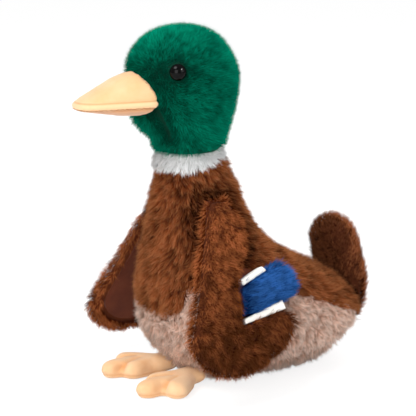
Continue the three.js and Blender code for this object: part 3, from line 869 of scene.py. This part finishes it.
# %% Sew the stitches
STITCH = 1.4
STITCH_STEP = 2.3
stitch_height = lip_middle - 1.5
edge = places_of(bill)
ring = edge[np.abs(edge[:, 2] / MM - stitch_height) < 0.5]
turns = np.arctan2(ring[:, 0] - side_shift * MM, drawn(0, -66, 0)[1] - ring[:, 1])
order = np.argsort(turns)
ring, turns = ring[order], turns[order]
at = np.linspace(-2.1, 2.1, 600)
path = np.stack([np.interp(at, turns, ring[:, i]) for i in range(3)], 1)
far = np.concatenate([[0], np.linalg.norm(np.diff(path, axis=0), axis=1).cumsum()]) / MM
starts = np.arange(1, far[-1] - 2, STITCH_STEP)
bpy.ops.mesh.primitive_uv_sphere_add(segments=6, ring_count=5, radius=1)
stitch = bpy.context.object
one = places_of(stitch)
corners = [list(face.vertices) for face in stitch.data.polygons]
bpy.data.objects.remove(stitch)
places, faces = [], []
for start in starts:
    a, b = (np.array([np.interp(t, far, path[:, i]) for i in range(3)])
            for t in (start, start + STITCH))
    outward = unit((a + b) / 2 - np.array(drawn(0, -66, stitch_height)))
    ahead = unit(b - a)
    frame_of = np.stack([ahead * 0.75, outward * 0.32, np.cross(ahead, outward) * 0.32])
    faces += [[corner + len(places) * len(one) for corner in face] for face in corners]
    places.append((a + b) / 2 + outward * 0.1 * MM + one @ frame_of * MM)
mesh = bpy.data.meshes.new("bill_stitches")
mesh.from_pydata(np.vstack(places).tolist(), [], faces)
mesh.materials.append(thread)
smooth_shaded(mesh)
stitches = linked("bill_stitches", mesh)
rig.ride(stitches, "head")
print(len(starts), "stitches")

# %% [markdown]
# Planting the pile
#
# Two strands are modelled: a short spike for dense pile, and a spindle with a bend at its
# middle for the longer pile of the wings and the tail. Each is copied to its roots, which
# are spread over a form by area. A strand leans away from the form's normal along a combing
# direction, and neighbours gather into tufts. A tuft has one lean and one tint of its own,
# its middle stands highest, and the strands at its edge are shorter and painted darker, as
# painted shade between the tufts.

# %% Model the strands


def modelled_strand(add, **settings):
    """Adds a primitive, flattens it, and returns its vertices and its triangles."""
    add(**settings)
    strand = bpy.context.object
    bpy.ops.object.transform_apply(location=True, rotation=True, scale=True)
    enter("EDIT")
    bpy.ops.mesh.select_all(action="SELECT")
    bpy.ops.transform.resize(value=(1, 0.6, 1))
    bpy.ops.mesh.quads_convert_to_tris()
    enter("OBJECT")
    places = places_of(strand)
    faces = np.array([list(face.vertices) for face in strand.data.polygons])
    bpy.data.objects.remove(strand)
    return places, faces


spike = modelled_strand(
    bpy.ops.mesh.primitive_cone_add, vertices=3, radius1=1, radius2=0, depth=1,
    location=(0, 0, 0.5), end_fill_type="NGON")
spindle = modelled_strand(
    bpy.ops.mesh.primitive_uv_sphere_add, segments=3, ring_count=2, radius=1,
    location=(0, 0, 0.5), rotation=(0, 0, math.pi / 2), scale=(1, 1, 0.5))

# %% Helpers for the pile
MOST_TRIANGLES = 196_000
PILE_REACH = 11 * MM
ROOT_DEPTH = 0.4
TINT_CLOUD = 15


def spread_roots(form, per_mm2, seed):
    """Roots spread over a form by its area before it swelled: places and normals, in metres."""
    mesh = form.data
    mesh.calc_loop_triangles()
    corners = rows_of(mesh.loop_triangles, "vertices", 3, int)
    places, normals = surface_of(form)
    rest = rows_of(mesh.attributes["rest_place"].data, "vector")
    a, b, c = (rest[corners[:, i]] for i in range(3))
    area = np.linalg.norm(np.cross(b - a, c - a), axis=1) / 2
    total = area.cumsum()
    count = int(total[-1] / MM**2 * per_mm2)
    rng = np.random.default_rng(seed)
    pick = (np.arange(count) + rng.random(count)) / count * total[-1]
    face = np.minimum(np.searchsorted(total, pick), len(area) - 1)
    edge, along = np.sqrt(rng.random(count)), rng.random(count)
    weights = np.stack([1 - edge, edge * (1 - along), edge * along], 1)[:, :, None]
    roots = (places[corners[face]] * weights).sum(1)
    return roots, unit((normals[corners[face]] * weights).sum(1))


def nearest(points, targets):
    """For each point, the index of the nearest target and its distance."""
    tree = KDTree(len(targets))
    for i, target in enumerate(targets):
        tree.insert(target, i)
    tree.balance()
    found = [tree.find(point)[1:] for point in points]
    return np.array([f[0] for f in found]), np.array([f[1] for f in found])


def planted(name, body_name, slot, material, strand, roots, normals, comb, length, density,
            seed, tuft, keep, width=0.22, lean=0.5, bend=0.5, grain=(0, 0, 0), gather=0.25,
            swirl=0.5, swirl_size=9, loose=0.14, dome=0.2, room=np.inf, shade=0, lift=0):
    """A pile of strands at the roots that are kept. Lengths and widths are in millimetres.

    comb is the direction that the pile lies in, lean the share of it at the root, and bend
    what is added at the tip. Tufts are about tuft apart, and twice that along the grain.
    gather is how far the tips close up, swirl how much the tufts stray over swirl_size,
    loose how much each strand does, and dome how much lower a tuft is at its edge. Where
    room is less than a strand's height, the strand is laid flat. shade darkens the colour
    as painted shade, and lift turns the shading towards the light from above.
    """
    rng = np.random.default_rng(seed)
    shape, triangles = strand
    all_roots, total = roots, len(roots)
    order = rng.permutation(total)
    middles = order[:max(int(total / (density * tuft**2)), 1)]
    kept = np.sort(order[keep[order]][:MOST_TRIANGLES // len(triangles)])
    length, room, shade = (np.broadcast_to(v, total)[kept] for v in (length, room, shade))
    roots, normals, comb = roots[kept], normals[kept], comb[kept]
    grain = np.array(grain, float)
    drawn_out = all_roots - grain * (all_roots @ grain)[:, None] * 0.5
    mine, away = nearest(drawn_out[kept], drawn_out[middles])
    edge = share(away / (0.62 * tuft * MM)) ** 2
    shift = Vector((seed * 7.3, seed * 3.1, seed * 5.7))
    stray = np.array([noise.noise_vector(Vector(p) / (swirl_size * MM) + shift)
                      for p in all_roots[middles]])
    stray += rng.normal(0, 0.12, stray.shape)
    cloud = np.array([noise.noise(Vector(p) / (TINT_CLOUD * MM) - shift)
                      for p in all_roots[middles]])

    along = comb + swirl * stray[mine] * 2
    along -= normals * (along * normals).sum(1, keepdims=True)
    jitter = rng.normal(0, loose, (total, 3))[kept]
    low = unit(normals + lean * along + jitter)
    high = unit(normals * (1 - bend * 0.4) + (lean + bend) * along + jitter * 1.6)
    tall = (length * rng.uniform(0.75, 1.1, total)[kept] * (1 - dome * edge) * MM)[:, None]
    close = (all_roots[middles][mine] - roots) * gather
    base = roots - normals * ROOT_DEPTH * MM
    middle = base + low * tall * 0.5 + close * 0.3
    tip = middle + high * tall * 0.5 + close * 0.7
    for point in (middle, tip):
        rise = ((point - roots) * normals).sum(1)
        over = np.maximum(rise - np.maximum(room - 0.5, 0.3) * MM, 0)[:, None]
        point += (comb * 0.8 - normals) * over

    across = unit(np.cross(low, normals + rng.normal(0, 0.35, (total, 3))[kept]))
    other = np.cross(low, across)
    thick = width * MM * rng.uniform(0.75, 1.25, total)[kept]
    u, v, w = shape.T
    places = np.where((w < 0.25)[None, :, None], base[:, None], np.where(
        (w > 0.75)[None, :, None], tip[:, None], middle[:, None]))
    places = places + (across[:, None] * u[None, :, None] + other[:, None] * v[None, :, None]
                       ) * thick[:, None, None]
    places[:, :, 2] = np.maximum(places[:, :, 2], 0.05 * MM)
    faces = triangles[None] + np.arange(len(kept))[:, None, None] * len(shape)
    tuft_tint = 0.7 * rng.random(len(middles)) + 0.3 * (0.5 + cloud)
    # The strands at a tuft's edge are darkened as painted shade, and shade adds more painted shade
    tint = 0.75 * tuft_tint[mine] + 0.45 * rng.random(total)[kept] - 0.4 * edge + 0.1 - shade
    around = normals + np.array((0, 0, lift))
    fur = strands_mesh(name, material, places, faces, shape, share(tint), around)
    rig.ride(fur, body_name)
    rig.slot(fur, slot)


def strands_mesh(name, material, places, faces, shape, tint, around):
    """Builds a pile's mesh, its two attributes, and a map with a small cell for each strand."""
    count, each, _ = places.shape
    mesh = bpy.data.meshes.new(name)
    mesh.vertices.add(count * each)
    mesh.vertices.foreach_set("co", places.ravel())
    triangles = faces.reshape(-1, 3)
    mesh.loops.add(triangles.size)
    mesh.loops.foreach_set("vertex_index", triangles.ravel())
    mesh.polygons.add(len(triangles))
    mesh.polygons.foreach_set("loop_start", np.arange(0, triangles.size, 3))
    smooth_shaded(mesh)
    mesh.update(calc_edges=True)
    stored(mesh, "pile_height", np.tile(shape[:, 2], count))
    stored(mesh, "tuft_tint", np.repeat(tint, each))
    cells = math.ceil(math.sqrt(count))
    cell = np.stack([np.arange(count) % cells, np.arange(count) // cells], 1)
    turn = np.arctan2(shape[:, 1], shape[:, 0]) / (2 * math.pi) + 0.5
    flat = np.stack([0.15 + 0.7 * turn, 0.1 + 0.8 * shape[:, 2]], 1)
    uv = (cell[:, None, None] + flat[faces[0]][None]) / cells
    layer = mesh.uv_layers.new(name="OFBake")
    layer.data.foreach_set("uv", uv.ravel().astype(np.float32))
    mesh.materials.append(material)
    own = rows_of(mesh.vertex_normals, "vector")
    soft = unit(own * 0.8 + np.repeat(around, each, axis=0))
    mesh.normals_split_custom_set_from_vertices(soft)
    print(name, count, "strands,", len(triangles), "triangles")
    return linked(name, mesh)


def lying(normals, direction):
    """A combing direction: the part of one direction, or of a row each, in the surface."""
    comb = np.broadcast_to(np.array(direction, float), normals.shape)
    return unit(comb - normals * (comb * normals).sum(1, keepdims=True))


def surface_tree(obj):
    """A search tree over an object's triangles."""
    obj.data.calc_loop_triangles()
    corners = [tuple(t.vertices) for t in obj.data.loop_triangles]
    return BVHTree.FromPolygons(places_of(obj).tolist(), corners)


def room_above(roots, normals, obstacles):
    """Free height over each root in mm, and whether it lies outside every obstacle."""
    room = np.full(len(roots), np.inf)
    free = np.ones(len(roots), bool)
    for obstacle in obstacles:
        tree, places = surface_tree(obstacle), places_of(obstacle)
        low, high = places.min(0) - PILE_REACH, places.max(0) + PILE_REACH
        for i in np.flatnonzero(((roots > low) & (roots < high)).all(1)):
            up = Vector(normals[i])
            place, face_normal, _, distance = tree.ray_cast(
                Vector(roots[i]), up, PILE_REACH)
            if place is not None and face_normal.dot(up) > 0:
                free[i] = False
            elif place is not None:
                room[i] = min(room[i], distance / MM)
    return room, free


def halves(roots):
    """The name of each side of the toy, and which roots lie on it."""
    left = roots[:, 0] >= side_shift * MM
    return ("left", left), ("right", ~left)


# %% [markdown]
# Pile of the body
#
# Four cloths make the body: a white band at the neck, a brown back and breast that ends in
# a point on the breast, a taupe belly, and a taupe base panel. The brown pile is combed
# down and back. The belly's is short and crushed into curls, and the seams part it.

# %% Plant the body
obstacles = [forms[f"{side}_{part}_form"] for side in sides for part in ("wing", "leg")]
obstacles += [nodes[f"{side}_wing_lining"] for side in sides]
density = 2.9
roots, normals = spread_roots(body, density, 11)
room, free = room_above(roots, normals, obstacles)
free &= roots[:, 2] / MM < NECK_SEAM - 3
over_flank = over_line(roots, flank_line)
over_base = over_line(roots, base_line)
height = roots[:, 2] / MM
overhang = np.interp(
    roots[:, 1] / MM - drawing_shift, (-60, -46, -36, -24, 20), (4.5, 9, 6, 2, 1.5))
nape = share(0.5 + normals[:, 1])
is_back = (over_flank > overhang) & (height <= BAND_SEAM + 2.2 + 5 * nape)
is_belly = (over_flank <= overhang) & (over_base > 0)
is_base = (over_flank <= overhang) & (over_base <= 0)
comb = lying(normals, (0, 0.3, -1))
near_band = share((BAND_SEAM - height) / 14)
front = share(-normals[:, 1])
back_length = 8.6 - 3.2 * front * (1 - near_band)
wing_points = np.vstack([places_of(forms[f"{side}_wing_form"]) for side in sides])
beside_wing = nearest(roots, wing_points)[1] / MM
# Painted shade on the pile beside the wings, darkest next to them
painted_wing_shade = 1.5 * ridge(beside_wing, 0, 12)
room = np.where(is_back, room, np.minimum(room, np.maximum(0.6 * beside_wing, 0.8)))
for side, half in halves(roots):
    planted(
        f"{side}_back_pile", "torso", "brown_plush", pile["brown"], spike, roots, normals,
        comb, back_length, density, seed=21, width=0.2, lean=0.6, tuft=2.3, grain=(0, 0, 1),
        swirl_size=12, room=room, shade=painted_wing_shade, keep=free & is_back & half)
parted = 0.55 + 0.45 * share(np.minimum(-over_flank, over_base) / 4)
planted(
    "belly_pile", "torso", "taupe_plush", pile["taupe"], spike, roots, normals, comb,
    7.6 * parted, density, seed=22, width=0.24, bend=0.7, tuft=2.2, gather=0.2, swirl=1.7,
    swirl_size=4.5, room=room, shade=painted_wing_shade, keep=free & is_belly)
every_other = np.arange(len(roots)) % 2 == 0
parted = 0.5 + 0.5 * share(-over_base / 4)
planted(
    "base_pile", "torso", "taupe_plush", pile["taupe"], spike, roots, normals, comb,
    8.4 * parted, density, seed=23, width=0.34, lean=0.7, tuft=3.2, gather=0.4, swirl=0.8,
    swirl_size=7, dome=0.3, room=room, keep=free & is_base & every_other)

# %% Plant the neck band
density = 4.0
roots, normals = spread_roots(body, density, 12)
height = roots[:, 2] / MM
nape = share(0.5 + normals[:, 1])
in_band = (height > BAND_SEAM + 1 + 5.5 * nape) & (normals[:, 2] < 0.7)
planted(
    "neck_band_pile", "torso", "white_plush", pile["white"], spindle, roots, normals,
    lying(normals, (0, 0, -1)), 8.4 - 2 * nape, density, seed=24, width=0.26, lean=0.4,
    bend=0.6, tuft=3, gather=0.35, swirl=0.35, dome=0.25, lift=0.6, keep=in_band)

# %% Plant the head
density = 4.2
roots, normals = spread_roots(head, density, 13)
height = roots[:, 2] / MM
room, free = room_above(roots, normals, [bill])
length = 7.8 * (0.8 + 0.2 * share((height - NECK_SEAM) / 10))
free &= height > NECK_SEAM + 1 + 3.5 * share(0.4 + normals[:, 1])
# Painted shade at the height of the eyes on the front of the head, and painted light on its top
shade = 0.45 * ridge(height, 216, 14) * share(0.6 - normals[:, 1])
shade = shade - 0.08 * share(normals[:, 2])
length = length + 0.3 * share(normals[:, 1]) - 1.5 * share(normals[:, 2])
for side in sides:
    low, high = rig.box(f"{side}_eye")
    eye = np.array((low + high) / 2)
    away = np.linalg.norm(roots - eye, axis=1) / MM
    length = length * (0.6 + 0.4 * share((away - 6.5) / 6.0))
    # Painted shade in a ring round each eye
    shade = shade + 0.5 * ridge(away, 6, 2.6)
    free &= away > 6.2
comb = lying(normals, unit(roots - np.array(drawn(0, -75, 205))))
bill_points = places_of(bill)
closest, apart = nearest(roots, bill_points)
over_bill = lying(normals, bill_points[closest] - roots) * ridge(apart / MM, 0, 5)[:, None]
comb = lying(normals, comb + 2.5 * over_bill)
# The throat creases shorten and part the pile, and the pile there gets painted shade
creased = throat_creases(roots, 4.6)
length = length * (1 - 0.8 * share(creased))
free &= creased < 0.88
for side, half in halves(roots):
    planted(
        f"{side}_head_pile", "head", "green_plush", pile["green"], spike, roots, normals,
        comb, length, density, seed=25, lean=0.3, bend=0.3, tuft=2.4, gather=0.1, swirl=0.3,
        swirl_size=14, loose=0.2, dome=0.1, room=room, shade=shade + 2 * creased,
        keep=free & half)

# %% Plant the tail
tail = forms["tail_form"]
density = 3.0
roots, normals = spread_roots(tail, density, 14)
room, free = room_above(roots, normals, [body])
# The front face of the tail is darkened as painted shade
planted(
    "tail_pile", "torso", "brown_plush", pile["dark_brown"], spindle, roots, normals,
    lying(normals, (0, 0.25, 1)), 9.5, density, seed=26, lean=0.45, tuft=4, grain=(0, 0, 1),
    swirl=0.45, swirl_size=14, loose=0.2, room=room,
    shade=0.85 * share(-normals[:, 1]), keep=free)

# %% [markdown]
# Wings
#
# The long pile grows from a wing's outer face and its rims, and none from the face that
# the lining covers. Beside the satin stripes it is trimmed, so that they show. The blue
# patch is the longest pile, combed towards the wing's rear edge.

# %% Plant the wings
STRIPE_RISE = 4.2
for side, outwards in sides.items():
    wing = forms[f"{side}_wing_form"]
    places = places_of(wing)
    axis = np.linalg.svd(places - places.mean(0), full_matrices=False)[2][2]
    axis = axis * np.sign(axis[0]) * outwards
    density = 3.6
    roots, normals = spread_roots(wing, density, 15)
    facing = normals @ axis
    room, free = room_above(roots, normals, [body])
    covered = surface_tree(nodes[f"{side}_wing_lining"])
    clear = np.array([covered.find_nearest(Vector(root))[3] for root in roots]) / MM
    free &= (facing > -0.45) | (clear > 2.6)
    outward = roots - places.mean(0)
    lower = share((0.105 - roots[:, 2]) / 0.06)
    hanging = lying(normals, (0, 0.25, -1)) + unit(outward) * (1 - np.abs(facing))[:, None]
    stripes = np.vstack([places_of(nodes[f"{side}_wing_{place}_stripe"])
                         for place in ("upper", "lower")])
    away = nearest(roots, stripes)[1] / MM
    beside = share((away - 1) / 7)
    length = (8.2 + 4.4 * (1 - np.abs(facing))) * (0.25 + 0.75 * beside)
    hangs = share(-unit(outward)[:, 2]) * (1 - np.abs(facing))
    length = length * np.interp(roots[:, 2] / MM, (60, 110), (1, 0.8)) * (1 - 0.45 * hangs)
    # Painted shade on the lower part of the outer face; painted light on the rims and the inner side
    planted(
        f"{side}_wing_pile", f"{side}_wing", "brown_plush", pile["long_brown"], spindle,
        roots, normals, lying(normals, hanging), length, density, seed=27, tuft=4,
        grain=(0, 0, 1), swirl_size=14, loose=0.2, room=room, keep=free,
        shade=0.6 * lower * share(facing) - 0.1 * (1 - share(facing)))
    patch = forms[f"{side}_patch_form"]
    density = 5.0
    roots, normals = spread_roots(patch, density, 16)
    free = normals @ axis > -0.3
    along_patch = (roots[:, 1] - roots[:, 1].min()) / MM
    # Painted shade over the first 14 mm of the patch, at its front end
    planted(
        f"{side}_patch_pile", f"{side}_wing", "blue_plush", pile["blue"], spindle, roots,
        normals, lying(normals, (0, 1, 0.1)), 10.5, density, seed=28, width=0.2, lean=1.1,
        bend=0.9, tuft=2.6, grain=(0, 1, 0), gather=0.2, swirl=0.12, loose=0.12, dome=0.1,
        shade=0.5 * share(1 - along_patch / 14), keep=free)

    # Each stripe is a flat satin tube, raised to the height of the pile
    for place in ("upper", "lower"):
        stripe = merged_copy(f"{side}_{place}_satin", (f"{side}_wing_{place}_stripe",))
        places = places_of(stripe)
        depth = places @ axis
        raised = depth > (depth.min() + depth.max()) / 2
        set_vertices(stripe, places + axis * raised[:, None] * STRIPE_RISE * MM)
        remeshed(stripe, 0.8)
        smoothed(stripe, 6)
        apply_modifier(stripe, "finer", "SUBSURF", levels=1, render_levels=1)
        smooth_shaded(stripe.data)
        dressed(stripe, satin_ribbon, f"{side}_wing", "white_satin",
                [f"{side}_wing_{place}_stripe"])

# %% [markdown]
# Cloth covers
#
# The body form is cut along its seams into the four covers that carry the pile, each 0.8 mm
# thick. The other forms are closed covers as they are.

# %% Cut and dress the covers
CLOTH = 0.8
for form in forms.values():
    form.data.attributes.remove(form.data.attributes["rest_place"])
centres = rows_of(body.data.polygons, "center")
over_flank = over_line(centres, flank_line)
over_base = over_line(centres, base_line)
in_band = centres[:, 2] / MM > BAND_SEAM
under_flank = ~in_band & (over_flank <= 0)
# name: faces of the body, dye, solids
covers = {
    "neck_band_cloth": (in_band, "white", ["neck_band"]),
    "back_cloth": (~in_band & (over_flank > 0), "brown", ["back_cover", "body_stuffing"]),
    "belly_cloth": (under_flank & (over_base > 0), "taupe", ["belly_cover"]),
    "base_cloth": (under_flank & (over_base <= 0), "taupe", ["base_panel"]),
}
# cloth, material, body, slot, solids
wardrobe = []
for name, (kept, dye, replaced) in covers.items():
    cover = linked(name, body.data.copy())
    delete_where(cover, ~kept, "FACE")
    apply_modifier(cover, "thick", "SOLIDIFY", thickness=CLOTH * MM, offset=-1)
    wardrobe.append((cover, backing[dye], "torso", f"{dye}_plush", replaced))
bpy.data.objects.remove(body)

closed = {
    "head": (backing["green"], "head", "green_plush"),
    "tail": (backing["brown"], "torso", "brown_plush"),
    "bill": (bill_velour, "head", "peach_velour"),
}
for side in sides:
    closed[f"{side}_wing"] = (backing["brown"], f"{side}_wing", "brown_plush")
    closed[f"{side}_patch"] = (backing["blue"], f"{side}_wing", "blue_plush")
    closed[f"{side}_leg"] = (peach_velour, f"{side}_leg", "peach_velour")
for name, (material, body_name, slot) in closed.items():
    # The washers are pieces of their own
    solids = [node for node in form_plan[f"{name}_form"][0] if "washer" not in node]
    wardrobe.append((forms[f"{name}_form"], material, body_name, slot, solids))
for piece, *outfit in wardrobe:
    smooth_shaded(piece.data)
    dressed(piece, *outfit)
    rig.padded(piece, fill=0.7)

# %% [markdown]
# Eyes and linings
#
# The eyes are copied from the construction with their facets joined and smoothed, so that
# the softboxes mirror in them as one clean spot. The linings stay as they are.

# %% Eyes and linings
WASHER_DEEPER = 3
for side in sides:
    eye = merged_copy(f"{side}_eye_dome", (f"{side}_eye",))
    apply_modifier(eye, "finer", "SUBSURF", levels=2, render_levels=2)
    smooth_shaded(eye.data)
    dressed(eye, black_plastic, "head", "eye_gloss", [f"{side}_eye"])
    # The washer is pushed deeper into the filling, clear of the swollen cover
    washer = merged_copy(f"{side}_washer_ring", (f"{side}_eye_washer",))
    inwards = places_of(washer).mean(0) - places_of(eye).mean(0)
    set_vertices(washer, places_of(washer) + unit(inwards) * WASHER_DEEPER * MM)
    dressed(washer, washer_plastic, "head", "washer_plastic", [f"{side}_eye_washer"])
    lining = nodes[f"{side}_wing_lining"]
    lining.data.materials.clear()
    lining.data.materials.append(lining_cloth)

# %% [markdown]
# Sizes
#
# The box of the construction and the box of the finished toy are written side by side, so
# that the pile can be checked against the room that it is allowed.

# %% Sizes and finish
import json

with open("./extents.json", "w") as file:
    json.dump({"cad": [list(c) for c in cad_box], "visual": [list(c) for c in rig.bounds()]}, file)
print(open("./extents.json").read())
